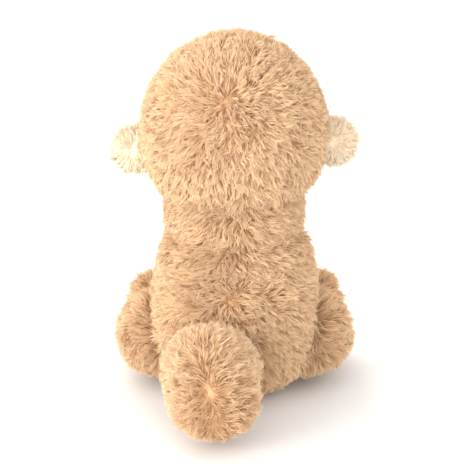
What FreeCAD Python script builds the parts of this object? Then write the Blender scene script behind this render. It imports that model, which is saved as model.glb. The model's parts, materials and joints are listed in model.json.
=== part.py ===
import FreeCAD, Part
import math
import os

from FreeCAD import Vector

# A sitting plush monkey, in millimetres. It looks along -Y, +Z is up, and its left side is +X.
# The origin is the middle of the flat seat that it rests on.

# ---------------------------------------------------------------- driving dimensions

PILE = 4.0                 # fabric with its flattened pile, the wall of every fur shell
FIT = 0.2                  # gap between a fabric shell and the stuffing in it
CLEAR = 0.4                # gap between two pieces that move past each other
BIG = 400.0                # side of a box that stands for a half space
BEND_STEP = 0.7            # the ball inside a bend is this much smaller, so the two runs join cleanly
SEAM_TURN = 37.0           # turns a ball's own seam line away from the planes that cut it

# Body: a pear on a flat seat
SEAT_R = 27.0
HIP_R, HIP_Z = 45.0, 38.0          # widest ring
COLLAR_R, COLLAR_Z = 35.0, 92.0    # open top ring, where the neck comes out
SEAT_PANEL_H = 4.0
BAG_R, BAG_LOW, BAG_HIGH, BAG_ROUND, BAG_WALL = 28.0, 4.2, 24.0, 6.0, 0.8

# Neck: a ball that the head and the body both fit round
NECK = Vector(0, 0, 104)
NECK_R = 35.0

# Head: an egg, a little taller above its widest ring
HEAD_Z = 147.0
HEAD_R, HEAD_UP, HEAD_DOWN = 49.8, 55.5, 48.5
FACE_W, FACE_H, FACE_Z = 37.0, 35.0, 138.0     # half width, half height and middle of the face panel
MUZZLE = Vector(0, -43, 127)
MUZZLE_HALF = (22.0, 16.5, 16.0)               # half sizes along X, Y and Z
NOSE = Vector(0, -58.2, 134)
NOSE_HALF = (6.5, 3.6, 4.6)
MOUTH = Vector(0, -58, 130)
MOUTH_R, THREAD_R, THREAD_ROW = 8.0, 0.9, 1.2    # the smile is a row of stitches 2.4 mm wide
EYE_X, EYE_Z = 17.5, 143.0
EYE_R, EYE_DOME, EYE_LIFT = 5.2, 3.8, 0.3
SHANK_R, SHANK_L = 1.6, 9.0
WASHER_R, WASHER_T, WASHER_DROP = 6.0, 1.2, 0.95

# Ears: flat round discs with their roots in the head's side seam. The left one is sewn lower.
EAR_R, EAR_T, EAR_ROUND = 12.5, 7.0, 3.3
EAR_X, EAR_Y = 54.5, 2.0
EAR_Z = {"left": 138.0, "right": 142.5}
EAR_PIVOT_X = 48.0
EAR_ROOT_R, EAR_ROOT_H = 3.8, 15.0
EAR_FOLD = 25.0

# Arms, left side: a ball in the shoulder, an elbow, and a hand in front of the belly
SHOULDER, SHOULDER_R = Vector(28, -25, 71), 11.0
ELBOW, ELBOW_R = Vector(40.5, -39, 58), 9.0
HAND, HAND_R = Vector(20, -61, 64), 10.5
WRIST_BACK = 5.0                               # the hand's seam, from the middle of the hand
ARM_SWING, ARM_SPREAD = 40.0, 30.0

# Legs, left side: a big ball at the hip, a heel, and toes that point up
HIP, THIGH_R = Vector(42, -10, 26.5), 24.0
HEEL, HEEL_R = Vector(48, -57, 18.5), 15.5
TOE, TOE_R = Vector(49.5, -63, 35), 13.5
SOLE_Y, SOLE_T = -73.0, 2.0
LEG_LIFT, LEG_SPLAY = 15.0, 25.0

# Tail: short and fat, a little to the left, with its end on the table
TAIL_ROOT, TAIL_ROOT_R = Vector(0, 40, 28), 14.0
TAIL_MID, TAIL_MID_R = Vector(13, 67, 34), 22.5
TAIL_END, TAIL_END_R = Vector(10, 88, 25), 21.5
TAIL_LIFT, TAIL_WAG = 30.0, 20.0

NODES = {}
X, Y, Z = Vector(1, 0, 0), Vector(0, 1, 0), Vector(0, 0, 1)


# ---------------------------------------------------------------- shapes

def revolved(edges):
    """The solid that a closed outline in the XZ plane makes as it turns about Z."""
    outline = Part.Face(Part.Wire(edges))
    outline.rotate(Vector(0, 0, 0), Z, SEAM_TURN)
    return outline.revolve(Vector(0, 0, 0), Z, 360)


def line(a, b):
    return Part.LineSegment(a, b).toShape()


def quarter_ellipse(centre, across, up, start, end):
    """Arc of an ellipse in the XZ plane with half sizes across and up, between two angles in degrees."""
    points = []
    for angle in (start, (start + end) / 2, end):
        a = math.radians(angle)
        points.append(centre + Vector(across * math.cos(a), 0, up * math.sin(a)))
    flat = Part.Arc(*[Vector(p.x, 0, (p.z - centre.z) * across / up + centre.z) for p in points]).toShape()
    stretch = FreeCAD.Matrix()
    stretch.move(Vector(0, 0, -centre.z))
    stretch.scale(1, 1, up / across)
    stretch.move(Vector(0, 0, centre.z))
    return flat.transformGeometry(stretch).Edges[0]


def ball(centre, radius):
    shape = Part.makeSphere(radius)
    shape.rotate(Vector(0, 0, 0), Z, SEAM_TURN)
    shape.translate(centre)
    return shape


def ellipsoid(centre, half):
    shape = Part.makeSphere(1.0)
    shape.rotate(Vector(0, 0, 0), Z, SEAM_TURN)
    stretch = FreeCAD.Matrix()
    stretch.scale(*half)
    shape = shape.transformGeometry(stretch)
    shape.translate(centre)
    return Part.Solid(shape.Shells[0])


def capsule(start, r0, end, r1):
    """Rounded cone: the hull of a ball of radius r0 at start and one of radius r1 at end."""
    along = end - start
    length = along.Length
    tilt = math.asin((r0 - r1) / length)
    low_mid, high_mid = (tilt - math.pi / 2) / 2, (tilt + math.pi / 2) / 2

    def on(radius, angle, height):
        return Vector(radius * math.cos(angle), 0, height + radius * math.sin(angle))

    bottom, top = Vector(0, 0, -r0), Vector(0, 0, length + r1)
    edge_low, edge_high = on(r0, tilt, 0), on(r1, tilt, length)
    shape = revolved([
        Part.Arc(bottom, on(r0, low_mid, 0), edge_low).toShape(),
        line(edge_low, edge_high),
        Part.Arc(edge_high, on(r1, high_mid, length), top).toShape(),
        line(top, bottom),
    ])
    shape.Placement = FreeCAD.Placement(start, FreeCAD.Rotation(Z, along))
    return shape


def half_space(point, normal):
    """A big box on the side of the plane through point that normal points to."""
    box = Part.makeBox(BIG, BIG, BIG, Vector(-BIG / 2, -BIG / 2, 0))
    box.Placement = FreeCAD.Placement(point, FreeCAD.Rotation(Z, normal))
    return box


def sweep_clear(limb, obstacle, pivot, first, second):
    """The limb less every place that the obstacle takes, seen from the limb, as its two joints turn."""
    for first_angle in first[1]:
        for second_angle in second[1]:
            turned = obstacle.copy()
            turned.rotate(pivot, first[0], -first_angle)
            turned.rotate(pivot, second[0], -second_angle)
            limb = limb.cut(turned)
    return limb


def steps(low, high, count=3):
    return [low + (high - low) * i / count for i in range(count + 1)]


def keep(name, shape):
    """Files a piece under its name, as one solid."""
    solids = sorted(shape.Solids, key=lambda s: -s.Volume)
    merged = solids[0].removeSplitter()
    piece = merged.Solids[0] if merged.isValid() else solids[0]
    if not piece.isValid() or piece.Volume <= 0:
        raise RuntimeError(f"{name} is not a valid solid")
    if len(solids) > 1 and solids[1].Volume > 1.0:
        raise RuntimeError(f"{name} falls into {len(solids)} pieces")
    NODES[name] = piece


# ---------------------------------------------------------------- forms, grown by g millimetres

def side_arc(end_r, end_z, g):
    """Arc from the widest ring to the ring end_r at end_z, upright where it starts, moved out by g."""
    rise, narrow = end_z - HIP_Z, HIP_R - end_r
    radius = (narrow ** 2 + rise ** 2) / (2 * narrow)
    centre_x, far = HIP_R - radius, radius + g

    def on(z):
        return Vector(centre_x + math.sqrt(far ** 2 - (z - HIP_Z) ** 2), 0, z)

    last = end_z - g if end_z < HIP_Z else end_z
    return on(HIP_Z), on((HIP_Z + last) / 2), on(last)


def body_form(g=0.0):
    widest, low_mid, foot = side_arc(SEAT_R, 0.0, g)
    _, high_mid, rim = side_arc(COLLAR_R, COLLAR_Z, g)
    bottom, top = Vector(0, 0, foot.z), Vector(0, 0, rim.z)
    return revolved([
        line(bottom, foot), Part.Arc(foot, low_mid, widest).toShape(),
        Part.Arc(widest, high_mid, rim).toShape(), line(rim, top), line(top, bottom),
    ])


def head_form(g=0.0):
    middle = Vector(0, 0, HEAD_Z)
    low = quarter_ellipse(middle, HEAD_R + g, HEAD_DOWN + g, -90, 0)
    high = quarter_ellipse(middle, HEAD_R + g, HEAD_UP + g, 0, 90)
    return revolved([low, high, line(Vector(0, 0, HEAD_Z + HEAD_UP + g), Vector(0, 0, HEAD_Z - HEAD_DOWN - g))])


def muzzle_form(g=0.0):
    return ellipsoid(MUZZLE, [h + g for h in MUZZLE_HALF])


def arm_form(g=0.0):
    upper = capsule(SHOULDER, SHOULDER_R - 1 + g, ELBOW, ELBOW_R + g)
    return upper.fuse(capsule(ELBOW, ELBOW_R - BEND_STEP + g, HAND, HAND_R + g))


def leg_form(g=0.0):
    shin = capsule(HIP, THIGH_R - 1 + g, HEEL, HEEL_R + g)
    return shin.fuse(capsule(HEEL, HEEL_R - BEND_STEP + g, TOE, TOE_R + g))


def tail_form(g=0.0):
    upper = capsule(TAIL_ROOT, TAIL_ROOT_R - 1 + g, TAIL_MID, TAIL_MID_R + g)
    return upper.fuse(capsule(TAIL_MID, TAIL_MID_R - BEND_STEP + g, TAIL_END, TAIL_END_R + g))


def mirrored(shape):
    return shape.mirror(Vector(0, 0, 0), X)


def both_sides(name, left_shape):
    keep("left_" + name, left_shape)
    keep("right_" + name, mirrored(left_shape))


# ---------------------------------------------------------------- limbs

def limb(form, pivot, radius, first, second):
    """Fur shell, stuffing and joint-end stuffing of a limb whose ball sits in a socket of the body."""
    outer = sweep_clear(form(0.0), body_form(CLEAR), pivot, first, second).fuse(ball(pivot, radius))
    hollow = sweep_clear(form(-PILE), body_form(CLEAR + PILE), pivot, first, second)
    hollow = hollow.fuse(ball(pivot, radius - PILE))
    filling = sweep_clear(form(-PILE - FIT), body_form(CLEAR + PILE + FIT), pivot, first, second)
    filling = filling.cut(ball(pivot, radius - PILE + FIT))
    return outer.cut(hollow), filling, ball(pivot, radius - PILE - CLEAR)


def make_arms():
    swing, spread = (-X, steps(0, ARM_SWING)), (-Y, steps(0, ARM_SPREAD, 2))
    shell, filling, end = limb(arm_form, SHOULDER, SHOULDER_R, swing, spread)
    forearm = (HAND - ELBOW).normalize()
    wrist = half_space(HAND - forearm * WRIST_BACK, forearm)
    both_sides("arm_fabric", shell.cut(wrist))
    both_sides("hand_fabric", shell.common(wrist))
    both_sides("arm_stuffing", filling)
    both_sides("shoulder_stuffing", end)


def make_legs():
    splay, lift = (Z, steps(0, LEG_SPLAY)), (-X, steps(0, LEG_LIFT, 2))
    shell, filling, end = limb(leg_form, HIP, THIGH_R, splay, lift)
    front = half_space(Vector(0, SOLE_Y, 0), -Y)
    inner = half_space(Vector(0, SOLE_Y + PILE, 0), -Y)
    solid_foot = sweep_clear(leg_form(0.0), body_form(CLEAR), HIP, splay, lift)
    flat_wall = solid_foot.common(inner).cut(front)
    sole = solid_foot.common(half_space(Vector(0, SOLE_Y + SOLE_T, 0), -Y)).cut(front)
    sole.translate(Vector(0, -SOLE_T, 0))
    both_sides("leg_fabric", shell.cut(front).fuse(flat_wall))
    both_sides("sole_pad", sole)
    both_sides("leg_stuffing", filling.cut(half_space(Vector(0, SOLE_Y + PILE + FIT, 0), -Y)))
    both_sides("hip_stuffing", end)


def make_tail():
    wag, lift = (Z, steps(-TAIL_WAG, TAIL_WAG, 4)), (X, steps(0, TAIL_LIFT, 2))
    shell, filling, end = limb(tail_form, TAIL_ROOT, TAIL_ROOT_R, wag, lift)
    run = TAIL_MID - TAIL_ROOT
    seam = half_space(TAIL_ROOT, Vector(run.y, -run.x, 0))
    keep("tail_left_fabric", shell.common(seam))
    keep("tail_right_fabric", shell.cut(seam))
    keep("tail_stuffing", filling)
    keep("tail_root_stuffing", end)


# ---------------------------------------------------------------- body and neck

def body_sockets(grow):
    """Everything that the body makes room for: the neck ball and the balls of the limbs."""
    holes = [ball(NECK, NECK_R + grow), ball(TAIL_ROOT, TAIL_ROOT_R + grow)]
    for centre, radius in ((SHOULDER, SHOULDER_R), (HIP, THIGH_R)):
        socket = ball(centre, radius + grow)
        holes += [socket, mirrored(socket)]
    return holes


def make_body():
    shell = body_form().cut(body_form(-PILE)).cut(body_sockets(CLEAR))
    above_seat = half_space(Vector(0, 0, SEAT_PANEL_H), Z)
    behind = half_space(Vector(0, 0, 0), Y)
    keep("seat_fabric", shell.cut(above_seat))
    keep("body_back_fabric", shell.common(above_seat).common(behind))
    keep("body_belly_fabric", shell.common(above_seat).cut(behind))

    def bag(g):
        block = Part.makeCylinder(BAG_R + g, BAG_HIGH - BAG_LOW + 2 * g, Vector(0, 0, BAG_LOW - g))
        rims = [e for e in block.Edges if isinstance(e.Curve, Part.Circle)]
        return block.makeFillet(BAG_ROUND + g, rims)

    sockets = body_sockets(CLEAR + FIT)
    keep("bead_bag", bag(0).cut(bag(-BAG_WALL)).cut(sockets))
    keep("bead_filling", bag(-BAG_WALL - 0.1).cut(body_sockets(CLEAR + FIT + BAG_WALL)))
    keep("body_stuffing", body_form(-PILE - FIT).cut(sockets).cut(bag(FIT)))


def make_neck():
    keep("neck_fabric", ball(NECK, NECK_R).cut(ball(NECK, NECK_R - PILE)))
    keep("neck_stuffing", ball(NECK, NECK_R - PILE - CLEAR))


# ---------------------------------------------------------------- head

def ear_pivot(side):
    """The fold line's middle, for either ear, on the left side."""
    return Vector(EAR_PIVOT_X, EAR_Y, EAR_Z[side])


def on_side(side, shape):
    """A shape made on the left side, moved to the side that it is for."""
    return shape if side == "left" else mirrored(shape)


def ear_root(side, g=0.0):
    low = ear_pivot(side) - Z * (EAR_ROOT_H / 2 + g)
    return Part.makeCylinder(EAR_ROOT_R + g, EAR_ROOT_H + 2 * g, low)


def eye_frame(side):
    """Point on the face where the eye sits, and the way it looks."""
    sign = 1 if side == "left" else -1
    ring = HEAD_R * math.sqrt(1 - ((EYE_Z - HEAD_Z) / HEAD_DOWN) ** 2)
    point = Vector(sign * EYE_X, -math.sqrt(ring ** 2 - EYE_X ** 2), EYE_Z)
    return point, Vector(point.x, point.y, 0).normalize()


def make_eye(side):
    point, out = eye_frame(side)
    dome_r = (EYE_R ** 2 + EYE_DOME ** 2) / (2 * EYE_DOME)
    seat = point + out * EYE_LIFT
    dome = ball(seat + out * (EYE_DOME - dome_r), dome_r).common(half_space(seat, out))
    shank = Part.makeCylinder(SHANK_R, SHANK_L, seat + out * 0.5, -out)
    washer_at = point - out * (PILE + WASHER_DROP)
    washer = Part.makeCylinder(WASHER_R, WASHER_T, washer_at, -out)
    bore = Part.makeCylinder(SHANK_R + 0.05, 3 * SHANK_L, point + out * SHANK_L, -out)
    keep(side + "_eye", dome.fuse(shank))
    keep(side + "_eye_washer", washer.cut(bore))
    room = Part.makeCylinder(WASHER_R + FIT, SHANK_L - PILE + FIT, point - out * (PILE - 0.5), -out)
    return bore, room


def make_ear(side):
    centre = Vector(EAR_X, EAR_Y, EAR_Z[side])
    disc = Part.makeCylinder(EAR_R, EAR_T, centre - Y * EAR_T / 2, Y)
    disc = disc.makeFillet(EAR_ROUND, [e for e in disc.Edges if isinstance(e.Curve, Part.Circle)])
    fold, still = (Z, steps(-EAR_FOLD, EAR_FOLD, 2)), (X, [0])
    disc = sweep_clear(disc, head_form(CLEAR), ear_pivot(side), fold, still)
    front = half_space(centre, -Y)
    keep(side + "_ear_back_fabric", on_side(side, disc.cut(front).fuse(ear_root(side))))
    keep(side + "_ear_front_fabric", on_side(side, disc.common(front).cut(ear_root(side))))


def make_head():
    socket = ball(NECK, NECK_R + CLEAR)
    shell = head_form().cut(head_form(-PILE)).cut(socket)
    stuffing = head_form(-PILE - FIT).cut(socket)
    for side in ("left", "right"):
        make_ear(side)
        shell = shell.cut(on_side(side, ear_root(side, CLEAR)))
        stuffing = stuffing.cut(on_side(side, ear_root(side, CLEAR + FIT)))
        bore, room = make_eye(side)
        shell = shell.cut(bore)
        stuffing = stuffing.cut(room)
    keep("head_stuffing", stuffing)

    opening = Part.Face(Part.Wire(Part.Ellipse(Vector(0, 0, 0), FACE_W, FACE_H).toShape()))
    opening.rotate(Vector(0, 0, 0), X, 90)
    opening.translate(Vector(0, 0, FACE_Z))
    opening = opening.extrude(Vector(0, -BIG, 0))
    behind = half_space(Vector(0, EAR_Y, 0), Y)
    front = shell.cut(behind)
    keep("head_back_fabric", shell.common(behind))
    keep("head_front_fabric", front.cut(opening))
    keep("face_fabric", front.common(opening))

    seated = head_form(0.15)
    bump = muzzle_form().cut(seated)
    hollow = muzzle_form(-2.0)
    keep("muzzle_fabric", bump.cut(hollow))
    keep("muzzle_stuffing", muzzle_form(-2.0 - FIT).cut(seated))
    keep("nose", ellipsoid(NOSE, NOSE_HALF).cut(muzzle_form(0.1)))
    smile = Part.makeTorus(MOUTH_R, THREAD_ROW, MOUTH, Y, 0, 360)
    band = muzzle_form(THREAD_R).cut(muzzle_form(0.1))
    keep("mouth_stitch", band.common(smile).common(half_space(MOUTH - Z * 2, -Z)))


# ---------------------------------------------------------------- all pieces

make_body()
make_neck()
make_head()
make_arms()
make_legs()
make_tail()

os.makedirs("parts", exist_ok=True)
for name, shape in NODES.items():
    shape.exportStep(os.path.join("parts", name + ".step"))
print(len(NODES), "pieces")
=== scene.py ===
import json
import math

import bmesh
import bpy
import numpy as np
from mathutils import Matrix, Vector, kdtree


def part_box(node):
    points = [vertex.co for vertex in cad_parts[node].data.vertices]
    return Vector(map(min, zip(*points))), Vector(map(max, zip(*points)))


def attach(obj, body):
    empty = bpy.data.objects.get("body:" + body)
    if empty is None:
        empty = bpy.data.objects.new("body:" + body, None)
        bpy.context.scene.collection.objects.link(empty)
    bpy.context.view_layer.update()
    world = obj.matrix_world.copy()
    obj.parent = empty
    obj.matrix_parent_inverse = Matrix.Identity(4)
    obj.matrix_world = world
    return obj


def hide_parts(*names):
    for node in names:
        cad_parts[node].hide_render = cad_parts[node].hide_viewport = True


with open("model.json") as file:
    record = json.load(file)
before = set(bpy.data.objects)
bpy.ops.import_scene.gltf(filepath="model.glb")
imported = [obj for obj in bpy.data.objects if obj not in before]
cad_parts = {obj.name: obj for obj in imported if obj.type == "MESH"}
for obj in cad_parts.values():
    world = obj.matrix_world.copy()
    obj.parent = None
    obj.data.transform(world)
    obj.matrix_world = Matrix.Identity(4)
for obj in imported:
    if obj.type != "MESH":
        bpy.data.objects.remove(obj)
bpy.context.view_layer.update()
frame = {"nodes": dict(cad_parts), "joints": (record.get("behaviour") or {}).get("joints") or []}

# A sitting plush monkey in metres. It looks along -Y, +Z is up and its left side is +X.
# Each stuffed part is a padded skin, and its pile is thousands of tapered strands rooted on the skin.

# ---------------------------------------------------------------- places and sizes, from the frame

MM = 0.001
JOINTS = {j["name"]: j for j in frame["joints"]}
UP = np.array([0.0, 0.0, 1.0])
SIDES = {"left": 1.0, "right": -1.0}


def pivot(joint):
    return np.array(JOINTS[joint]["pos_m"], float)


def half(node):
    """Half sizes of a CAD node's box."""
    low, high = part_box(node)
    return (np.array(high) - np.array(low)) / 2


def middle(node):
    low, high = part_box(node)
    return (np.array(high) + np.array(low)) / 2


SINK = 1.5 * MM                                # the skin lies this far inside the pile's pressed surface
SHORT_SINK = 1.0 * MM                          # the same where the plush is short
NECK_SINK, ARM_SINK = 1.0 * MM, 2.2 * MM       # the same on the neck and the arms
SOLE_SINK = 0.6 * MM                           # and behind the sole
WALL = 4.4 * MM                                # from a joint ball's stuffing to its outside
SOCKET_GAP = 0.8 * MM                          # between a limb's skin and its socket in the body
LIMB_GAP = 1.3 * MM                            # between the body's skin and a limb that turns past it
BARE_GAP = 1.2 * MM                            # how far round a socket the body carries no pile
NECK_GAP = 0.3 * MM                            # the same round the neck's ball

NECK = pivot("head_turn")
NECK_R = half("neck_fabric")[0]
HEAD_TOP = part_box("head_front_fabric")[1].z
HEAD_R = half("head_back_fabric")[0]
HEAD = np.array([0.0, 0.0, 147.0 * MM])
HEAD_UP, HEAD_DOWN = HEAD_TOP - HEAD[2], 48.5 * MM
MUZZLE, MUZZLE_HALF = np.array([0.0, -43.0, 127.0]) * MM, np.array([22.0, 16.5, 16.0]) * MM
COLLAR_Z = 92.0 * MM
NECK_BAND = 22.0 * MM                          # how far from its middle the neck carries pile
EAR_Y = 2.0 * MM                               # the ears' middle, and the head's side seam
EYE_CLEAR = 5.6 * MM                           # no plush grows this near an eye's middle

SHOULDER, SHOULDER_R = pivot("left_arm_swing"), half("left_shoulder_stuffing")[2] + WALL
ELBOW, ELBOW_R = np.array([40.5, -39.0, 58.0]) * MM, 9.0 * MM
HAND, HAND_R = np.array([20.0, -61.0, 64.0]) * MM, 10.5 * MM
HIP, THIGH_R = pivot("left_leg_lift"), half("left_hip_stuffing")[2] + WALL
HEEL, HEEL_R = np.array([48.0, -57.0, 18.5]) * MM, 15.5 * MM
TOE, TOE_R = np.array([49.5, -63.0, 35.0]) * MM, 13.5 * MM
SOLE_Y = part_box("left_sole_pad")[1].y
TAIL_ROOT, TAIL_ROOT_R = pivot("tail_lift"), half("tail_root_stuffing")[2] + WALL
TAIL_MID, TAIL_MID_R = np.array([13.0, 67.0, 34.0]) * MM, 22.5 * MM
TAIL_END, TAIL_END_R = np.array([10.0, 88.0, 25.0]) * MM, 21.5 * MM
FLOOR_GAP = 0.4 * MM                           # the lowest that pressed pile comes


def mirror(point, side):
    return np.asarray(point, float) * np.array([SIDES[side], 1, 1])


# ---------------------------------------------------------------- small maths on arrays of points

def unit(v):
    return v / np.maximum(np.linalg.norm(v, axis=-1, keepdims=True), 1e-9)


def waves(points, size, seed, count=10):
    """Smooth noise from -1 to 1, with features about size metres across."""
    rng = np.random.default_rng(seed)
    k = unit(rng.normal(size=(count, 3))) * (2 * math.pi / size) * rng.uniform(0.6, 1.4, (count, 1))
    phase = rng.uniform(0, 2 * math.pi, count)
    return np.sin(points @ k.T + phase).sum(1) / math.sqrt(count)


def flatten(t, n):
    """The part of t that lies along the surface with normals n, at unit length."""
    return unit(t - (t * n).sum(1, keepdims=True) * n)


def smooth(x, low, high):
    t = np.clip((x - low) / (high - low), 0, 1)
    return t * t * (3 - 2 * t)


def part_way(p, a, b):
    """How far along a to b each point is, from 0 to 1."""
    along = b - a
    return np.clip(((p - a) @ along) / (along @ along), 0, 1)


def ruffle(p, size, seed):
    """Smooth noise as a vector at each point."""
    return np.stack([waves(p, size, seed + i) for i in range(3)], 1)


def in_ball(p, centre, radius):
    return np.linalg.norm(p - centre, axis=1) < radius


def body_radius(z):
    """Radius of the body's pear at height z."""
    widest, widest_z = 45.0 * MM, 38.0 * MM
    foot, rim = 27.0 * MM, 35.0 * MM
    z = np.clip(z, 0, COLLAR_Z)
    low = ((widest - foot) ** 2 + widest_z ** 2) / (2 * (widest - foot))
    rise = COLLAR_Z - widest_z
    high = ((widest - rim) ** 2 + rise ** 2) / (2 * (widest - rim))
    bend = np.where(z < widest_z, low, high)
    return widest - bend + np.sqrt(bend ** 2 - (z - widest_z) ** 2)


def body_depth(p):
    """Depth of each point inside the body's pear, or -1 above and below it."""
    depth = body_radius(p[:, 2]) - np.hypot(p[:, 0], p[:, 1])
    return np.where((p[:, 2] > 0) & (p[:, 2] < COLLAR_Z), depth, -1)


def head_depth(p):
    """Depth of each point inside the head's egg, in metres, about right near its surface."""
    q = p - HEAD
    rise = np.where(q[:, 2] > 0, HEAD_UP, HEAD_DOWN)
    scale = np.sqrt((q[:, 0] / HEAD_R) ** 2 + (q[:, 1] / HEAD_R) ** 2 + (q[:, 2] / rise) ** 2)
    return (1 - scale) * HEAD_R


# ---------------------------------------------------------------- materials

def material(name):
    mat = bpy.data.materials.new(name)
    mat.use_nodes = True
    nodes, links = mat.node_tree.nodes, mat.node_tree.links
    return mat, nodes, links, nodes["Principled BSDF"]


def ramp(nodes, stops):
    node = nodes.new("ShaderNodeValToRGB")
    for extra in range(len(stops) - 2):
        node.color_ramp.elements.new(0.5)
    for element, (place, colour) in zip(node.color_ramp.elements, stops):
        element.position = place
        element.color = (*colour, 1)
    return node


def pile_material(name, root, mid, tip, dark, light, sheen=0.25):
    """Colour of a strand from its own map: along it from a darker root to a lighter tip, partly its own
    colour and partly painted shade deep in the pile, and across by the tuft's tone, which also carries the
    combs' painted shade and highlight.
    """
    mat, nodes, links, bsdf = material(name)
    uv = nodes.new("ShaderNodeUVMap")
    uv.uv_map = "OFBake"
    split = nodes.new("ShaderNodeSeparateXYZ")
    links.new(uv.outputs["UV"], split.inputs[0])
    # painted shade: the dark root end of this ramp stands in for the shade deep in the pile
    along = ramp(nodes, [(0.0, root), (0.5, mid), (1.0, tip)])
    links.new(split.outputs["Y"], along.inputs["Fac"])
    tone = ramp(nodes, [(0.0, dark), (0.5, (1.0, 1.0, 1.0)), (1.0, light)])
    links.new(split.outputs["X"], tone.inputs["Fac"])
    both = nodes.new("ShaderNodeMix")
    both.data_type, both.blend_type = "RGBA", "MULTIPLY"
    both.inputs["Factor"].default_value = 1.0
    links.new(along.outputs["Color"], both.inputs["A"])
    links.new(tone.outputs["Color"], both.inputs["B"])
    links.new(both.outputs["Result"], bsdf.inputs["Base Color"])
    rough = nodes.new("ShaderNodeMapRange")
    rough.inputs["To Min"].default_value, rough.inputs["To Max"].default_value = 0.95, 0.7
    links.new(split.outputs["Y"], rough.inputs["Value"])
    links.new(rough.outputs["Result"], bsdf.inputs["Roughness"])
    bsdf.inputs["Specular IOR Level"].default_value = 0.2
    bsdf.inputs["Sheen Weight"].default_value = sheen
    bsdf.inputs["Sheen Roughness"].default_value = 0.5
    return mat


def noise_material(name, dark, light, scale, rough=(0.8, 0.95), bump=0.4, specular=0.2, stretch=(1, 1, 1)):
    """Fibrous or mottled cloth: two colours by noise, with bump and roughness from the same noise."""
    mat, nodes, links, bsdf = material(name)
    place = nodes.new("ShaderNodeTexCoord")
    mapping = nodes.new("ShaderNodeMapping")
    mapping.inputs["Scale"].default_value = stretch
    links.new(place.outputs["Object"], mapping.inputs["Vector"])
    noise = nodes.new("ShaderNodeTexNoise")
    noise.inputs["Scale"].default_value = scale
    noise.inputs["Detail"].default_value = 6.0
    links.new(mapping.outputs["Vector"], noise.inputs["Vector"])
    colours = ramp(nodes, [(0.3, dark), (0.7, light)])
    links.new(noise.outputs["Fac"], colours.inputs["Fac"])
    links.new(colours.outputs["Color"], bsdf.inputs["Base Color"])
    shine = nodes.new("ShaderNodeMapRange")
    shine.inputs["To Min"].default_value, shine.inputs["To Max"].default_value = rough
    links.new(noise.outputs["Fac"], shine.inputs["Value"])
    links.new(shine.outputs["Result"], bsdf.inputs["Roughness"])
    relief = nodes.new("ShaderNodeBump")
    relief.inputs["Strength"].default_value = bump
    relief.inputs["Distance"].default_value = 0.4 * MM
    links.new(noise.outputs["Fac"], relief.inputs["Height"])
    links.new(relief.outputs["Normal"], bsdf.inputs["Normal"])
    bsdf.inputs["Specular IOR Level"].default_value = specular
    return mat


WAVE_PERIOD = 0.314                            # in metres, of a wave texture at scale 1


def woven_material(name, dark, light, pitch):
    """Plain woven cloth: two crossed sets of threads."""
    mat, nodes, links, bsdf = material(name)
    place = nodes.new("ShaderNodeTexCoord")
    threads = []
    for axis in ("X", "Z"):
        wave = nodes.new("ShaderNodeTexWave")
        wave.bands_direction = axis
        wave.inputs["Scale"].default_value = WAVE_PERIOD / pitch
        wave.inputs["Distortion"].default_value = 0.6
        links.new(place.outputs["Object"], wave.inputs["Vector"])
        threads.append(wave.outputs["Fac"])
    cross = nodes.new("ShaderNodeMath")
    cross.operation = "MULTIPLY"
    for thread, socket in zip(threads, cross.inputs):
        links.new(thread, socket)
    colours = ramp(nodes, [(0.0, dark), (1.0, light)])
    links.new(cross.outputs[0], colours.inputs["Fac"])
    links.new(colours.outputs["Color"], bsdf.inputs["Base Color"])
    relief = nodes.new("ShaderNodeBump")
    relief.inputs["Strength"].default_value = 0.5
    relief.inputs["Distance"].default_value = 0.2 * MM
    links.new(cross.outputs[0], relief.inputs["Height"])
    links.new(relief.outputs["Normal"], bsdf.inputs["Normal"])
    bsdf.inputs["Roughness"].default_value = 0.9
    return mat


def eye_material():
    """A glossy black-brown eye with a clear coat."""
    mat = noise_material("eye_gloss", (0.006, 0.004, 0.003), (0.022, 0.011, 0.006), 260.0,
                         rough=(0.05, 0.12), bump=0.01, specular=0.6)
    bsdf = mat.node_tree.nodes["Principled BSDF"]
    bsdf.inputs["Coat Weight"].default_value = 1.0
    bsdf.inputs["Coat Roughness"].default_value = 0.03
    return mat


# The piles' root colours, darker than their tips, are partly painted shade deep in the pile.
TAN_PILE = pile_material("tan_pile", (0.60, 0.355, 0.19), (0.81, 0.545, 0.32), (0.92, 0.69, 0.45),
                         (0.72, 0.62, 0.52), (1.08, 1.11, 1.14))
CREAM_PILE = pile_material("cream_pile", (0.98, 0.80, 0.58), (1.0, 0.865, 0.67), (1.0, 0.90, 0.75),
                           (0.95, 0.92, 0.87), (1.0, 1.0, 1.0))
TAN_SKIN = noise_material("tan_backing", (0.58, 0.34, 0.18), (0.74, 0.47, 0.265), 700.0)
CREAM_SKIN = noise_material("cream_backing", (0.92, 0.76, 0.55), (0.98, 0.85, 0.67), 700.0)
STUFFING = noise_material("stuffing_fibre", (0.72, 0.72, 0.70), (0.92, 0.92, 0.90), 320.0, bump=0.8,
                          stretch=(1, 1, 3))
BAG_CLOTH = woven_material("bag_weave", (0.50, 0.49, 0.46), (0.80, 0.79, 0.75), 0.9 * MM)
BEADS = noise_material("bead_plastic", (0.62, 0.62, 0.60), (0.90, 0.90, 0.88), 450.0, rough=(0.35, 0.6))
WASHER = noise_material("washer_plastic", (0.78, 0.78, 0.75), (0.88, 0.88, 0.86), 200.0,
                        rough=(0.35, 0.5), bump=0.05)
THREAD = noise_material("brown_floss", (0.045, 0.020, 0.012), (0.13, 0.065, 0.04), 900.0,
                        rough=(0.45, 0.7), bump=0.3)
EYE = eye_material()


# ---------------------------------------------------------------- meshes

def add_object(name, mesh):
    obj = bpy.data.objects.new(name, mesh)
    bpy.context.scene.collection.objects.link(obj)
    return obj


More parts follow.
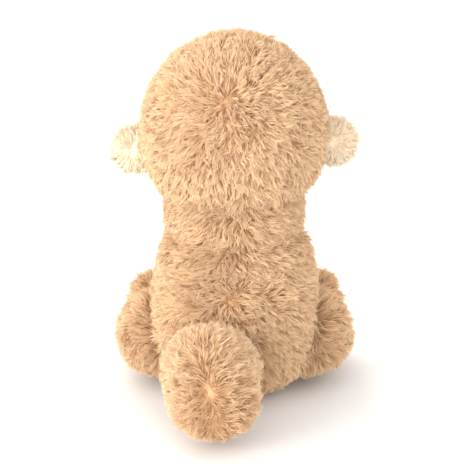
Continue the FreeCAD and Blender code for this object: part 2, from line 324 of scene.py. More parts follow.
def coords(mesh):
    co = np.empty(len(mesh.vertices) * 3, np.float32)
    mesh.vertices.foreach_get("co", co)
    return co.reshape(-1, 3).astype(float)


def set_coords(mesh, co):
    mesh.vertices.foreach_set("co", np.asarray(co, np.float32).ravel())
    mesh.update()


def baked(obj):
    """Replaces the object's mesh with what its modifiers make of it."""
    graph = bpy.context.evaluated_depsgraph_get()
    mesh = bpy.data.meshes.new_from_object(obj.evaluated_get(graph))
    old = obj.data
    obj.modifiers.clear()
    obj.data = mesh
    bpy.data.meshes.remove(old)
    return obj


def remeshed(obj, voxel, relax=6):
    rounding = obj.modifiers.new("voxels", "REMESH")
    rounding.mode, rounding.voxel_size = "VOXEL", voxel
    if relax:
        soften = obj.modifiers.new("soften", "SMOOTH")
        soften.iterations, soften.factor = relax, 0.5
    return baked(obj)


def ball_chain(name, chain, voxel=2.2 * MM, per_run=9):
    """Soft form round a chain of (centre, radius) balls."""
    bm = bmesh.new()
    for (a, ra), (b, rb) in zip(chain, chain[1:]):
        for t in np.linspace(0, 1, per_run):
            centre, radius = a + (b - a) * t, ra + (rb - ra) * t
            bmesh.ops.create_icosphere(bm, subdivisions=3, radius=radius,
                                       matrix=Matrix.Translation(Vector(centre)))
    mesh = bpy.data.meshes.new(name)
    bm.to_mesh(mesh)
    bm.free()
    return remeshed(add_object(name, mesh), voxel)


def round_form(name, shape, detail=5):
    """A closed form from shape, which turns unit vectors into points."""
    bm = bmesh.new()
    bmesh.ops.create_icosphere(bm, subdivisions=detail, radius=1.0)
    mesh = bpy.data.meshes.new(name)
    bm.to_mesh(mesh)
    bm.free()
    obj = add_object(name, mesh)
    set_coords(mesh, shape(coords(mesh)))
    return obj


def push_out(obj, centre, radius, towards):
    """Dents a skin where a neighbour's ball sits in it: points inside the ball go to its far side."""
    co = coords(obj.data)
    rel = co - centre
    inside = np.linalg.norm(rel, axis=1) < radius
    d = unit(np.broadcast_to(towards, co.shape) if np.ndim(towards) == 1 else towards)
    b = (rel * d).sum(1)
    c = (rel ** 2).sum(1) - radius ** 2
    reach = -b + np.sqrt(np.maximum(b * b - c, 0))
    co[inside] += (d * reach[:, None])[inside]
    set_coords(obj.data, co)


def keep_off_body(obj, ball_r, first, second):
    """Moves a limb's skin, apart from its joint ball, out of the body's skin at every turn of its joints."""
    first, second = JOINTS[first], JOINTS[second]
    base = np.array(first["pos_m"], float)
    co = coords(obj.data)
    free = np.linalg.norm(co - base, axis=1) > ball_r
    for first_angle in np.linspace(*first["range_deg"], 5):
        for second_angle in np.linspace(*second["range_deg"], 3):
            turn = np.array(Matrix.Rotation(math.radians(first_angle), 3, Vector(first["axis"]))
                            @ Matrix.Rotation(math.radians(second_angle), 3, Vector(second["axis"])))
            turned = base + (co - base) @ turn.T
            flat = turned * [1, 1, 0]
            deep = body_radius(turned[:, 2]) - SINK + LIMB_GAP - np.linalg.norm(flat, axis=1)
            deep = np.where(free & (turned[:, 2] < COLLAR_Z + 2 * MM), np.maximum(deep, 0), 0)
            turned += unit(flat) * deep[:, None]
            co = base + (turned - base) @ turn
    set_coords(obj.data, co)


def add_cloth(obj, frames):
    cloth = obj.modifiers.new("cloth", "CLOTH")
    cloth.settings.quality = 6
    cloth.settings.mass = 0.15
    cloth.settings.tension_stiffness = cloth.settings.compression_stiffness = 15.0
    cloth.settings.bending_stiffness = 0.3
    cloth.settings.use_pressure = True
    cloth.settings.uniform_pressure_force = 4.0
    cloth.settings.effector_weights.gravity = 0.0
    cloth.collision_settings.use_collision = False
    cloth.point_cache.frame_start, cloth.point_cache.frame_end = 1, frames


def cloth_puff(skins, cap, voxel=4.0 * MM, frames=20):
    """Blows the skins up a little as stuffed cloth, all in one simulation, and rounds them off. No point
    moves further than cap."""
    rest = {}
    for obj in skins:
        remeshed(obj, voxel, relax=2)
        rest[obj.name] = coords(obj.data)
        add_cloth(obj, frames)
    for frame_number in range(1, frames + 1):
        bpy.context.scene.frame_set(frame_number)
    graph = bpy.context.evaluated_depsgraph_get()
    for obj in skins:
        puffed = rest[obj.name]
        step = coords(obj.evaluated_get(graph).data) - puffed
        size = np.linalg.norm(step, axis=1, keepdims=True)
        puffed = puffed + step * np.minimum(1, cap / np.maximum(size, 1e-9))
        obj.modifiers.clear()
        puffed[:, 2] = np.maximum(puffed[:, 2], FLOOR_GAP)
        set_coords(obj.data, puffed)
        rounder = obj.modifiers.new("round", "SUBSURF")
        rounder.levels = rounder.render_levels = 1
        baked(obj)
    bpy.context.scene.frame_set(1)


def cream_patch(obj, share):
    """Gives the part of a tan skin that short cream plush covers a cream backing."""
    faces = obj.data.polygons
    centres = np.empty(len(faces) * 3, np.float32)
    faces.foreach_get("center", centres)
    obj.data.materials.append(CREAM_SKIN)
    faces.foreach_set("material_index", share(centres.reshape(-1, 3).astype(float)).astype(np.int32))


def finish_skin(obj, mat, body, fill, slot, *replaced):
    faces = obj.data.polygons
    faces.foreach_set("use_smooth", np.ones(len(faces), bool))
    obj.data.materials.clear()
    obj.data.materials.append(mat)
    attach(obj, body)
    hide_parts(*replaced)
    return obj


# ---------------------------------------------------------------- pile

class Skin:
    """Triangles of a skin, to plant strands on."""

    def __init__(self, obj):
        mesh = obj.data
        mesh.calc_loop_triangles()
        tris = np.empty(len(mesh.loop_triangles) * 3, np.int32)
        mesh.loop_triangles.foreach_get("vertices", tris)
        self.tris = tris.reshape(-1, 3)
        self.co = coords(mesh)
        normals = np.empty(len(mesh.vertices) * 3, np.float32)
        mesh.vertices.foreach_get("normal", normals)
        self.normals = normals.reshape(-1, 3).astype(float)
        a, b, c = (self.co[self.tris[:, i]] for i in range(3))
        self.areas = np.linalg.norm(np.cross(b - a, c - a), axis=1) / 2

    def plant(self, per_mm2, rng):
        count = int(self.areas.sum() / MM ** 2 * per_mm2)
        tri = rng.choice(len(self.tris), count, p=self.areas / self.areas.sum())
        u, v = rng.uniform(size=(2, count))
        flip = u + v > 1
        u[flip], v[flip] = 1 - u[flip], 1 - v[flip]
        weights = np.stack([1 - u - v, u, v], 1)[:, :, None]
        points = (self.co[self.tris[tri]] * weights).sum(1)
        normals = unit((self.normals[self.tris[tri]] * weights).sum(1))
        return points, normals


# A strand is a bent ribbon: two corners at each of the first three rows, and one at the tip.
ROWS = np.array([0.0, 0.38, 0.72, 1.0])        # from root to tip
WIDTHS = np.array([0.85, 1.0, 0.72])           # of the first three rows
CORNERS = 7
LOOPS = np.array([0, 1, 3, 2, 2, 3, 5, 4, 4, 5, 6])
FACE_STARTS = np.array([0, 4, 8])
MAP_WIDTH = 1 / 128                            # of a strand on its map, so that no face there is empty

TUFT = 8                                       # strands that lean together
TUFT_PULL, TUFT_REACH = 0.5, 3.0 * MM          # how far they lean towards their tuft's tip, and at most
ROOT_DEPTH = 0.5 * MM                          # the roots start this far under the skin
CURL = 0.6 * MM
MOST_TURN = 1.5                                # radians, of a ribbon about its own length
SKIN_NORMAL = 0.15                             # how much of a ribbon's shading comes from the skin


def strand_paths(p, n, t, lift, length):
    """Points of each strand's middle line at ROWS: it leaves at the lift and lies over towards t."""
    lift = lift[:, None]
    start = unit(n * lift + t * (1 - lift))
    end = unit(n * lift * 0.35 + t * (1 - lift * 0.35))
    rows = [p + length[:, None] * (s * start + 0.5 * s * s * (end - start)) for s in ROWS]
    return np.stack(rows, 1)


def nearest(points, chosen):
    """For each point, which of the chosen ones is nearest."""
    tree = kdtree.KDTree(len(chosen))
    for i, h in enumerate(chosen):
        tree.insert(points[h], i)
    tree.balance()
    return np.array([tree.find(q)[1] for q in points])


def ribbons(path, n, width, rng):
    """Corners and normals of a tapered ribbon along each path, turned at random about the path."""
    count = len(path)
    way = unit(path[:, 2] - path[:, 0])
    side = unit(np.cross(n, way) + 1e-6)
    rise = np.cross(way, side)
    turn = rng.uniform(-MOST_TURN, MOST_TURN, (count, 1))
    side = side * np.cos(turn) + rise * np.sin(turn)
    face = np.cross(side, way)
    wrong = (face * n).sum(1) < 0
    side[wrong] *= -1
    face[wrong] *= -1
    breadth = width * MM / 2 * rng.uniform(0.75, 1.25, (count, 1))

    co = np.empty((count, CORNERS, 3))
    for row, share in enumerate(WIDTHS):
        co[:, 2 * row] = path[:, row] - side * breadth * share
        co[:, 2 * row + 1] = path[:, row] + side * breadth * share
    co[:, 6] = path[:, 3]
    normals = np.empty((count, CORNERS, 3))
    base = n * SKIN_NORMAL + face * (1 - SKIN_NORMAL)
    for v in range(CORNERS):
        lean = 0.0 if v == CORNERS - 1 else (0.3 if v % 2 else -0.3)
        normals[:, v] = unit(base + side * lean)
    return co, normals


def strand_mesh(name, co, normals, tone, mat):
    """One mesh of all the ribbons. Its map holds each strand's tone across, and root to tip upward."""
    count, size = len(co), len(LOOPS)
    mesh = bpy.data.meshes.new(name)
    mesh.vertices.add(count * CORNERS)
    mesh.vertices.foreach_set("co", co.astype(np.float32).ravel())
    mesh.loops.add(count * size)
    corners = LOOPS[None, :] + np.arange(count)[:, None] * CORNERS
    mesh.loops.foreach_set("vertex_index", corners.astype(np.int32).ravel())
    mesh.polygons.add(count * len(FACE_STARTS))
    starts = FACE_STARTS[None, :] + np.arange(count)[:, None] * size
    mesh.polygons.foreach_set("loop_start", starts.astype(np.int32).ravel())
    mesh.polygons.foreach_set("use_smooth", np.ones(count * len(FACE_STARTS), bool))
    mesh.update(calc_edges=True)
    uv = np.empty((count, size, 2), np.float32)
    uv[:, :, 0] = tone[:, None] + np.where(LOOPS % 2 == 1, MAP_WIDTH, 0)[None, :]
    uv[:, :, 1] = ROWS[LOOPS // 2][None, :] * 0.98 + 0.01
    mesh.uv_layers.new(name="OFBake")
    mesh.uv_layers["OFBake"].data.foreach_set("uv", uv.ravel())
    mesh.normals_split_custom_set_from_vertices(normals.reshape(-1, 3).astype(np.float32))
    mesh.materials.append(mat)
    return mesh


def pile(name, skin, body, mat, slot, comb, keep, seed, density=3.0, length=9.0, width=0.38, jitter=0.42):
    """A coat of strands, density to the square mm, length and width in mm. comb(points, normals) gives
    each strand's way, its lift from 0 to 1, a factor on its length and a shift of its tone. keep(points)
    leaves out strands that a neighbour covers."""
    rng = np.random.default_rng(seed)
    p, n = skin.plant(density, rng)
    wanted = keep(p)
    p, n = p[wanted], n[wanted]
    count = len(p)
    t, lift, long, shade = comb(p, n)
    t = flatten(t + rng.normal(size=(count, 3)) * 0.05, n)

    heads = rng.choice(count, max(1, count // TUFT), replace=False)
    mine = nearest(p, heads)
    swing = rng.normal(size=(len(heads), 3)) * jitter
    tuft_lift = rng.normal(size=len(heads)) * 0.10
    tuft_long = rng.uniform(0.82, 1.15, len(heads))
    tuft_tone = rng.normal(size=len(heads)) * 0.13
    t = flatten(t + swing[mine] + rng.normal(size=(count, 3)) * jitter * 0.35, n)
    lift = np.clip(lift + tuft_lift[mine] + rng.normal(size=count) * 0.05, 0.03, 0.97)
    real = length * MM * long * tuft_long[mine] * rng.uniform(0.85, 1.1, count)
    path = strand_paths(p - n * ROOT_DEPTH, n, t, lift, real)

    bend = path[heads, -1][mine] - path[:, -1]
    reach = np.linalg.norm(bend, axis=1, keepdims=True)
    bend *= np.minimum(1, TUFT_REACH / np.maximum(reach, 1e-9))
    strength = TUFT_PULL * rng.uniform(0.6, 1.15, count)
    path += (ROWS ** 1.6)[None, :, None] * (bend * strength[:, None])[:, None, :]
    curl = np.cross(n, t) * (rng.normal(size=(count, 1)) * CURL)
    path += np.sin(ROWS * 4.5)[None, :, None] * curl[:, None, :]
    path[:, :, 2] = np.maximum(path[:, :, 2], FLOOR_GAP)

    co, normals = ribbons(path, n, width, rng)
    tone = np.clip(0.5 + tuft_tone[mine] + rng.normal(size=count) * 0.07 + shade, 0.02, 0.96)
    obj = add_object(name, strand_mesh(name, co, normals, tone, mat))
    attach(obj, body)
    return obj


# ---------------------------------------------------------------- skins

def shrunk(chain, by=SINK):
    return [(c, r - by) for c, r in chain]


ARM_CHAIN = [(SHOULDER, SHOULDER_R), (ELBOW, ELBOW_R), (HAND, HAND_R)]
LEG_CHAIN = [(HIP, THIGH_R), (HEEL, HEEL_R), (TOE, TOE_R)]
TAIL_CHAIN = [(TAIL_ROOT, TAIL_ROOT_R), (TAIL_MID, TAIL_MID_R), (TAIL_END, TAIL_END_R)]


def sided(chain, side):
    return [(mirror(c, side), r) for c, r in chain]


def face_share(p):
    """1 on the cream face panel, 0 on the tan head round it. Its top edge dips in the middle."""
    x, z = p[:, 0] / MM, p[:, 2] / MM
    lobes = np.hypot((np.abs(x) - 13.5) / 20.5, (z - 145.0) / 19.5)
    cheeks = np.hypot(x / 35.5, (z - 128.0) / 23.0)
    edge = np.minimum(lobes, cheeks)
    return (1 - smooth(edge, 0.94, 1.04)) * (p[:, 1] < 0)


def head_shape(u):
    """The egg, less what the pile covers, and less still on the face."""
    rise = np.where(u[:, 2] > 0, HEAD_UP - 1.2 * MM, HEAD_DOWN)
    reach = np.stack([np.full(len(u), HEAD_R), np.full(len(u), HEAD_R), rise], 1)
    p = HEAD + u * reach
    deep = SINK + (SHORT_SINK - SINK) * face_share(p)
    return p - unit(u / (reach / HEAD_R)) * deep[:, None]


def body_shape(u):
    """The pear: the unit vector's height becomes a height up the pear."""
    low, high = 0.5 * MM, COLLAR_Z + 6 * MM
    z = (u[:, 2] + 1) / 2 * (high - low) + low
    flat = np.clip(np.hypot(u[:, 0], u[:, 1]) * 2.6, 0, 1)
    around = unit(u * np.array([1, 1, 0]) + 1e-9)
    radius = (body_radius(z) - SINK) * flat
    end_in = smooth(flat, 0.0, 1.0)
    z = np.where(u[:, 2] < 0, z * (0.35 + 0.65 * end_in), z)
    return around * radius[:, None] + UP * z[:, None]


def towards_axis(obj):
    return -coords(obj.data) * np.array([1, 1, 0])


def make_skins():
    skins = {"head": round_form("head_skin", head_shape, detail=6)}
    push_out(skins["head"], NECK, NECK_R, UP)
    skins["body"] = remeshed(round_form("body_skin", body_shape, detail=6), 2.5 * MM, relax=8)
    push_out(skins["body"], NECK, NECK_R, -UP)
    for side in SIDES:
        for centre, radius in ((SHOULDER, SHOULDER_R), (HIP, THIGH_R)):
            push_out(skins["body"], mirror(centre, side), radius - SINK + SOCKET_GAP,
                     towards_axis(skins["body"]))
        skins[side + "_arm"] = ball_chain(side + "_arm_skin", shrunk(sided(ARM_CHAIN, side), ARM_SINK))
        skins[side + "_leg"] = ball_chain(side + "_leg_skin", shrunk(sided(LEG_CHAIN, side)))
        leg = skins[side + "_leg"].data
        co = coords(leg)
        co[:, 1] = np.maximum(co[:, 1], SOLE_Y + SOLE_SINK)
        set_coords(leg, co)
        keep_off_body(skins[side + "_arm"], SHOULDER_R, side + "_arm_swing", side + "_arm_spread")
        keep_off_body(skins[side + "_leg"], THIGH_R, side + "_leg_splay", side + "_leg_lift")
    push_out(skins["body"], TAIL_ROOT, TAIL_ROOT_R - SINK + SOCKET_GAP, towards_axis(skins["body"]))
    skins["tail"] = ball_chain("tail_skin", shrunk(TAIL_CHAIN))
    keep_off_body(skins["tail"], TAIL_ROOT_R, "tail_wag", "tail_lift")
    skins["neck"] = round_form("neck_skin", lambda u: NECK + u * (NECK_R - NECK_SINK))
    big = [skins[k] for k in ("head", "body", "tail", "left_leg", "right_leg")]
    cloth_puff(big, cap=0.9 * MM)
    cloth_puff([skins["left_arm"], skins["right_arm"]], cap=0.5 * MM, voxel=3.0 * MM)
    return skins


skins = make_skins()

finish_skin(skins["head"], TAN_SKIN, "head", 0.9, "tan_fur",
            "head_back_fabric", "head_front_fabric", "face_fabric")
finish_skin(skins["body"], TAN_SKIN, "body", 0.85, "tan_fur",
            "body_back_fabric", "body_belly_fabric", "seat_fabric")
finish_skin(skins["neck"], TAN_SKIN, "neck", 0.8, "tan_fur", "neck_fabric")
finish_skin(skins["tail"], TAN_SKIN, "tail", 0.7, "tan_fur", "tail_left_fabric", "tail_right_fabric")
for side in SIDES:
    finish_skin(skins[side + "_arm"], TAN_SKIN, side + "_arm", 0.7, "tan_fur",
                side + "_arm_fabric", side + "_hand_fabric")
    finish_skin(skins[side + "_leg"], TAN_SKIN, side + "_leg", 0.8, "tan_fur",
                side + "_leg_fabric", side + "_sole_pad")


def hand_share(side):
    forearm = unit(HAND - ELBOW)
    seam = HAND - forearm * 5.0 * MM

    def share(p):
        return (mirror(p, side) - seam) @ forearm > 0
    return share


cream_patch(skins["head"], lambda p: face_share(p) > 0.3)
for side in SIDES:
    cream_patch(skins[side + "_arm"], hand_share(side))
    cream_patch(skins[side + "_leg"], lambda p: p[:, 1] < SOLE_Y + 1.5 * MM)


# ---------------------------------------------------------------- combing

WHORL = np.array([1.5, 45.0, 170.0]) * MM      # where the head's pile spreads from
DIP = np.array([-7.0, 47.0, 158.0]) * MM       # a small dip in the pile beside it, darkened with painted shade
DIP_R = 4.0 * MM
CROWN_Z = 178.0 * MM, 200.0 * MM               # the head's pile lies flatter above these heights
UNDER_Z = 110.0 * MM, 122.0 * MM               # and is longer below these, and darker there as painted shade under the head
BACK_MID = np.array([2.0, 44.0, 62.0]) * MM    # where the back's pile stands up
EYES = {side: middle(side + "_eye") for side in SIDES}


def combed(p, t, n, lift, long, shade):
    """A coat's comb, with the pile shorter and flatter where it is pressed near the table."""
    free = 1 - 0.5 * (1 - smooth(p[:, 2], 2 * MM, 24 * MM))
    return flatten(t, n), lift * free, long * free, shade


def comb_head(p, n):
    away = p - WHORL
    far = np.linalg.norm(away, axis=1)
    t = unit(away) * smooth(far, 0, 9 * MM)[:, None] + UP * -0.15
    t = t + ruffle(p, 11 * MM, 11) * 0.5
    crown = smooth(p[:, 2], *CROWN_Z)
    # under also darkens the tone a little: painted shade on the head's underside
    under = 1 - smooth(p[:, 2], *UNDER_Z)
    # dip lowers and shortens the pile and darkens its tone as painted shade in the hollow
    dip = np.exp(-((p - DIP) ** 2).sum(1) / DIP_R ** 2)
    lift = 0.56 + 0.10 * waves(p, 14 * MM, 21) + 0.28 * (1 - smooth(far, 3 * MM, 16 * MM)) - 0.14 * crown
    return combed(p, t, n, lift + 0.05 * under - 0.3 * dip, 1.0 + 0.15 * under - 0.4 * dip,
                  0.06 * waves(p, 22 * MM, 31) - 0.05 * under - 0.3 * dip)


def sideways(p):
    """Away from the middle line and a little down."""
    return np.stack([np.tanh(p[:, 0] / (12 * MM)), np.zeros(len(p)), np.full(len(p), -0.6)], 1)


def comb_neck(p, n):
    """Sideways, and short where the head and the body cover it."""
    t = sideways(p)
    hidden = smooth(np.abs(p[:, 2] - NECK[2]), 14 * MM, 24 * MM)
    t = t + ruffle(p, 14 * MM, 36) * 0.3
    return combed(p, t, n, 0.58 - 0.35 * hidden, 1.15 - 0.6 * hidden, 0.05 * waves(p, 20 * MM, 33))


def comb_body(p, n):
    """On end in the middle of the back, away from there all round, and sideways at the collar."""
    away = p - BACK_MID
    far = np.linalg.norm(away, axis=1)
    back = smooth(p[:, 1], -5 * MM, 15 * MM)[:, None]
    t = unit(away) * back + (1 - back) * (UP * -1.0 + p * np.array([8.0, 0, 0]))
    t = t - UP * 0.2 + ruffle(p, 14 * MM, 41) * 0.45
    lift = 0.78 - 0.22 * smooth(far, 8 * MM, 45 * MM)
    top = smooth(p[:, 2], 66 * MM, 84 * MM)
    t = t * (1 - top)[:, None] + sideways(p) * top[:, None]
    full = smooth(-p[:, 0], 15 * MM, 32 * MM) * smooth(p[:, 2], 50 * MM, 70 * MM)
    near = 0.0
    for side in SIDES:
        gap = np.linalg.norm(p - mirror(HIP, side), axis=1) - THIGH_R
        near = near + 1 - smooth(gap, 0, 9 * MM)
    return combed(p, t, n, lift + 0.12 * full + 0.15 * near + 0.08 * waves(p, 14 * MM, 45),
                  1.0 + 0.1 * top + 0.25 * full + 0.25 * near, 0.05 * waves(p, 22 * MM, 47))


def comb_leg(side):
    """Out from the hip, along to the heel, and round the rim of the sole."""
    def comb(p, n):
        hip, heel = mirror(HIP, side), mirror(HEEL, side)
        along = part_way(p, hip, heel)[:, None]
        t = unit(p - hip) * (1 - along) + unit(heel - hip) * (0.3 + along)
        t = t + mirror([0.25, 0, 0], side) - UP * 0.25
        near = smooth(-p[:, 1], 60 * MM, 68 * MM)[:, None]
        t = t * (1 - near) + unit((p - mirror((HEEL + TOE) / 2, side)) * np.array([1, 0, 1])) * near
        t = t + ruffle(p, 14 * MM, 51) * 0.4
        full = smooth(p[:, 2], 25 * MM, 42 * MM) * (0.25 if side == "right" else 0.05)
        full = full + 0.3 * smooth(body_depth(p), -9 * MM, 0) * smooth(p[:, 1], -40 * MM, -20 * MM)
        return combed(p, t, n, 0.62 + 0.1 * waves(p, 16 * MM, 55), 1.05 + full - 0.35 * near[:, 0],
                      0.05 * waves(p, 20 * MM, 57))
    return comb


def comb_arm(side):
    """Down to the elbow and along to the hand."""
    def comb(p, n):
        elbow, hand = mirror(ELBOW, side), mirror(HAND, side)
        along = part_way(p, elbow, hand)[:, None]
        t = unit(elbow - mirror(SHOULDER, side)) * (1 - along) + unit(hand - elbow) * along
        t = t + ruffle(p, 18 * MM, 61) * 0.2
        return combed(p, t, n, 0.40, 0.72, 0.05 * waves(p, 20 * MM, 67))
    return comb


TAIL_WAY = unit(np.array([-0.08, 1.0, 0.05]))  # the way that the tail's end looks
TAIL_SEAM = unit(np.array([0.98, 0.08, -0.16]))  # across the parting down the end's middle


def comb_tail(p, n):
    """Away from a parting down the middle of the end, and standing out on the sides. Its tone holds painted
    shade, deepest in the parting and milder over the end, and a painted rim highlight on the sides.
    """
    rel = p - TAIL_END - np.array([2.5, 0, 6]) * MM
    offset = rel @ TAIL_SEAM
    end = smooth((n * TAIL_WAY).sum(1), 0.05, 0.75)
    part = np.tanh(offset / (3 * MM))[:, None] * TAIL_SEAM
    across = rel - (rel @ TAIL_WAY)[:, None] * TAIL_WAY
    spoke = unit(across) * smooth(np.linalg.norm(across, axis=1), 0, 9 * MM)[:, None]
    t = -0.4 * TAIL_WAY * (1 - end)[:, None] + (part * 0.6 + spoke * 0.7) * end[:, None]
    t = t + ruffle(p, 14 * MM, 71) * 0.3
    # valley: the parting's groove, where the pile is shorter, flatter and darkened as painted shade
    valley = np.exp(-(offset / (3.5 * MM)) ** 2 - ((p[:, 2] - 28 * MM) / (16 * MM)) ** 2) * end
    # tone: -0.5 in the valley and -0.22 over the end are painted shade; +0.12 on the sides is a painted rim
    # highlight
    return combed(p, t, n, 0.70 - 0.13 * end - 0.25 * valley, 0.95 - 0.3 * valley,
                  0.05 * waves(p, 20 * MM, 77) - 0.5 * valley - 0.22 * end + 0.12 * (1 - end))


def comb_face(p, n):
    """Away from the muzzle, and short round the eyes."""
    t = unit(p - MUZZLE)
    near = np.minimum(*[np.linalg.norm(p - EYES[s], axis=1) for s in SIDES])
    short = 0.55 + 0.45 * smooth(near, 5 * MM, 11 * MM)
    return combed(p, t, n, 0.42, short, 0.05 * waves(p, 14 * MM, 81))


def comb_muzzle(p, n):
    nose = MUZZLE + np.array([0, -16, 7]) * MM
    return combed(p, unit(p - nose), n, 0.40, 1.0, 0.05 * waves(p, 12 * MM, 83))


def comb_hand(side):
    def comb(p, n):
        t = mirror(HAND - ELBOW, side) + (p - mirror(HAND, side)) * 0.6
        return combed(p, unit(t), n, 0.45, 1.0, 0.05 * waves(p, 12 * MM, 85))
    return comb


# ---------------------------------------------------------------- what each coat leaves out

def body_hidden(p):
    """Points of the body that the neck or a limb covers at every pose."""
    hidden = in_ball(p, NECK, NECK_R + NECK_GAP) | in_ball(p, TAIL_ROOT, TAIL_ROOT_R - 4 * MM)
    for side in SIDES:
        hidden |= in_ball(p, mirror(HIP, side), THIGH_R - SINK + BARE_GAP)
        hidden |= in_ball(p, mirror(SHOULDER, side), SHOULDER_R - SINK + BARE_GAP)
    return hidden


surface = {name: Skin(obj) for name, obj in skins.items()}


def tan_coat(name, skin, comb, keep, seed, **options):
    """A coat of long pile on a skin that has its body's name."""
    pile(name, surface[skin], skin, TAN_PILE, "tan_fur", comb, keep, seed, **options)


def cream_coat(name, skin, body, comb, keep, seed, **options):
    pile(name, surface[skin], body, CREAM_PILE, "cream_plush", comb, keep, seed, **options)


def head_covered(p):
    """Points of the head that the neck covers."""
    return in_ball(p, NECK, NECK_R + NECK_GAP)


tan_coat("head_back_fur", "head", comb_head, lambda p: (p[:, 1] > EAR_Y) & ~head_covered(p), 101)
tan_coat("head_front_fur", "head", comb_head,
         lambda p: (p[:, 1] <= EAR_Y) & ~head_covered(p) & (face_share(p) < 0.5), 102)
tan_coat("body_back_fur", "body", comb_body, lambda p: (p[:, 1] > 0) & ~body_hidden(p), 103)
tan_coat("body_belly_fur", "body", comb_body, lambda p: (p[:, 1] <= 0) & ~body_hidden(p), 104)
tan_coat("neck_fur", "neck", comb_neck, lambda p: np.abs(p[:, 2] - NECK[2]) < NECK_BAND, 105)
tan_coat("tail_fur", "tail", comb_tail, lambda p: body_depth(p) < 0, 106, length=9.5)
for number, side in enumerate(SIDES):
    share = hand_share(side)
    tan_coat(side + "_leg_fur", side + "_leg", comb_leg(side),
             lambda p: (body_depth(p) < 1 * MM) & (p[:, 1] > SOLE_Y + 2.5 * MM), 110 + number)
    tan_coat(side + "_arm_fur", side + "_arm", comb_arm(side),
             lambda p: (body_depth(p) < 1 * MM) & ~share(p), 120 + number, length=7.0)
    cream_coat(side + "_hand_fur", side + "_arm", side + "_arm", comb_hand(side), share, 130 + number,
               density=2.2, length=3.6, width=0.4)


# ---------------------------------------------------------------- face, ears, soles

def make_muzzle():
    obj = round_form("muzzle_skin", lambda u: MUZZLE + u * (MUZZLE_HALF - SHORT_SINK))
    co = coords(obj.data)
    cheek = 1.0 + 0.05 * np.exp(-((np.abs(co[:, 0]) - 11 * MM) / (7 * MM)) ** 2)
    co[:, 1] = MUZZLE[1] + (co[:, 1] - MUZZLE[1]) * cheek
    set_coords(obj.data, co)
    finish_skin(obj, CREAM_SKIN, "head", 0.85, "cream_plush", "muzzle_fabric")
    surface["muzzle"] = Skin(obj)
    cream_coat("muzzle_fur", "muzzle", "head", comb_muzzle, lambda p: head_depth(p) < 1 * MM, 140,
               density=2.4, length=3.0)


def make_face():
    def on_panel(p):
        clear = ~head_covered(p) & (p[:, 1] < 0)
        for eye in EYES.values():
            clear &= ~in_ball(p, eye, EYE_CLEAR)
        return (face_share(p) >= 0.5) & clear
    cream_coat("face_fur", "head", "head", comb_face, on_panel, 141, density=2.2, length=3.4, width=0.4)


EAR_THICK, EAR_SINK = 3.0 * MM, 2.0 * MM


def ear_shape(side):
    """A thick disc that is hollowed a little in front."""
    low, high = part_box(side + "_ear_back_fabric")
    outer = high.x if side == "left" else low.x
    radius = (high.z - low.z) / 2
    centre = np.array([outer - SIDES[side] * radius, EAR_Y, (high.z + low.z) / 2])

    def shape(u):
        r = np.hypot(u[:, 0], u[:, 2])
        depth = np.sign(u[:, 1]) * np.abs(u[:, 1]) ** 0.8
        cup = np.where(u[:, 1] < 0, 1 - 0.55 * (1 - smooth(r, 0.2, 0.85)), 1.0)
        y = depth * cup * EAR_THICK - 1.0 * MM * smooth(r, 0.6, 1.0)
        return centre + np.stack([u[:, 0] * (radius - EAR_SINK), y, u[:, 2] * (radius - EAR_SINK)], 1)
    return centre, shape


def make_ear(side, seed):
    centre, shape = ear_shape(side)
    obj = round_form(side + "_ear_skin", shape)
    finish_skin(obj, CREAM_SKIN, side + "_ear", 0.3, "cream_plush",
                side + "_ear_back_fabric", side + "_ear_front_fabric")
    surface[side + "_ear"] = Skin(obj)

    def comb(p, n):
        front = smooth(-p[:, 1], 0, 2 * MM)
        return combed(p, unit(p - centre), n, 0.34 - 0.06 * front, 1.0 - 0.25 * front,
                      0.05 * waves(p, 14 * MM, 91))
    cream_coat(side + "_ear_fur", side + "_ear", side + "_ear", comb, lambda p: head_depth(p) < 3 * MM,
               seed, density=5.0, length=7.0, width=0.36, jitter=0.25)


SOLE_THICK, SOLE_SHIFT = 2.0 * MM, np.array([0.0, 0.8, 0.0]) * MM


def make_sole(side, seed):
    """A cream pad sewn over the flat end of the foot."""
    centre, size = middle(side + "_sole_pad"), half(side + "_sole_pad")

    inset = 0.97

    def shape(u):
        p = u.copy()
        p[:, 1] = np.sign(u[:, 1]) * np.abs(u[:, 1]) ** 0.7
        return centre + p * np.array([size[0] * inset, SOLE_THICK, size[2] * inset]) + SOLE_SHIFT
    obj = round_form(side + "_sole_skin", shape)
    finish_skin(obj, CREAM_SKIN, side + "_leg", 0.5, "cream_plush", side + "_sole_pad")
    surface[side + "_sole"] = Skin(obj)
    cream_coat(side + "_sole_fur", side + "_sole", side + "_leg",
               lambda p, n: combed(p, unit(p - centre), n, 0.4, 1.0, 0.05 * waves(p, 10 * MM, 93)),
               lambda p: p[:, 1] < centre[1] + 0.5 * MM, seed, density=4.5, length=2.8, width=0.36)


make_muzzle()
make_face()
for number, side in enumerate(SIDES):
    make_ear(side, 150 + number)
    make_sole(side, 160 + number)


# ---------------------------------------------------------------- carried-over CAD pieces

def paint(node, mat):
    data = frame["nodes"][node].data
    data.materials.clear()
    data.materials.append(mat)


for node in frame["nodes"]:
    if node.endswith("_stuffing"):
        paint(node, STUFFING)
    elif node.endswith("_eye"):
        paint(node, EYE)
    elif node.endswith("_washer"):
        paint(node, WASHER)
paint("bead_bag", BAG_CLOTH)
paint("bead_filling", BEADS)
paint("nose", THREAD)
paint("mouth_stitch", THREAD)


# ---------------------------------------------------------------- floor, light, camera

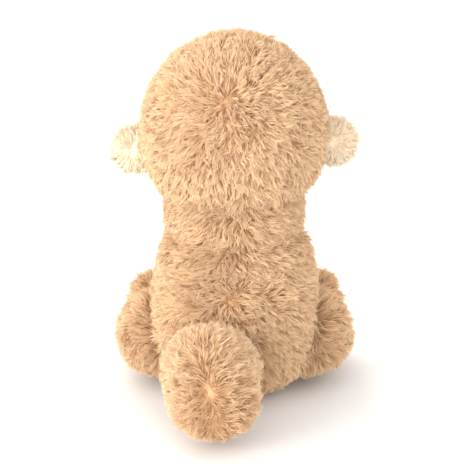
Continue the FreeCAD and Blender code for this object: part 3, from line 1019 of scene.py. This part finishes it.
def make_stage():
    bpy.ops.mesh.primitive_plane_add(size=8.0, location=(0, 0, 0))
    floor = bpy.context.object
    floor.name = "floor"
    floor.data.materials.append(noise_material("pale_floor", (0.93, 0.93, 0.93), (0.95, 0.95, 0.95), 3.0,
                                               bump=0.0, specular=0.1))
    world = bpy.data.worlds.new("studio")
    bpy.context.scene.world = world
    world.use_nodes = True
    world.node_tree.nodes["Background"].inputs["Color"].default_value = (1.0, 0.99, 0.975, 1)
    world.node_tree.nodes["Background"].inputs["Strength"].default_value = 1.12


LIGHTS = {                                     # place, width, power and colour
    "key": ((1.1, 0.95, 0.62), 0.9, 10.5, (1.0, 0.97, 0.92)),
    "low": ((0.7, 0.8, 0.16), 0.5, 3.6, (1.0, 0.98, 0.94)),
    "fill": ((-0.5, 1.2, 0.4), 0.9, 3.0, (1.0, 0.98, 0.96)),
    "front": ((0.4, -1.1, 0.7), 0.9, 8.0, (1.0, 0.98, 0.95)),
}


def area_light(name, place, size, power, colour):
    """A round soft light that looks at the middle of the toy."""
    data = bpy.data.lights.new(name, "AREA")
    data.shape, data.size, data.energy, data.color = "DISK", size, power, colour
    lamp = bpy.data.objects.new(name, data)
    bpy.context.scene.collection.objects.link(lamp)
    lamp.location = place
    aim = Vector((0, 0, 0.1)) - Vector(place)
    lamp.rotation_euler = aim.to_track_quat("-Z", "Y").to_euler()


def make_camera():
    """From behind and a little above, 0.8 m away."""
    elevation, distance, width, sensor = math.radians(15.0), 0.8, 0.265, 36.0
    aim = Vector((-0.0017, 0.0, 0.088))
    data = bpy.data.cameras.new("camera")
    data.sensor_width = sensor
    data.lens = sensor * distance / width
    camera = bpy.data.objects.new("camera", data)
    bpy.context.scene.collection.objects.link(camera)
    camera.location = aim + Vector((0, math.cos(elevation), math.sin(elevation))) * distance
    camera.rotation_euler = (aim - camera.location).to_track_quat("-Z", "Y").to_euler()
    bpy.context.scene.camera = camera


make_stage()
for name, light in LIGHTS.items():
    area_light(name, *light)
make_camera()
bpy.context.scene.view_settings.view_transform = "Standard"
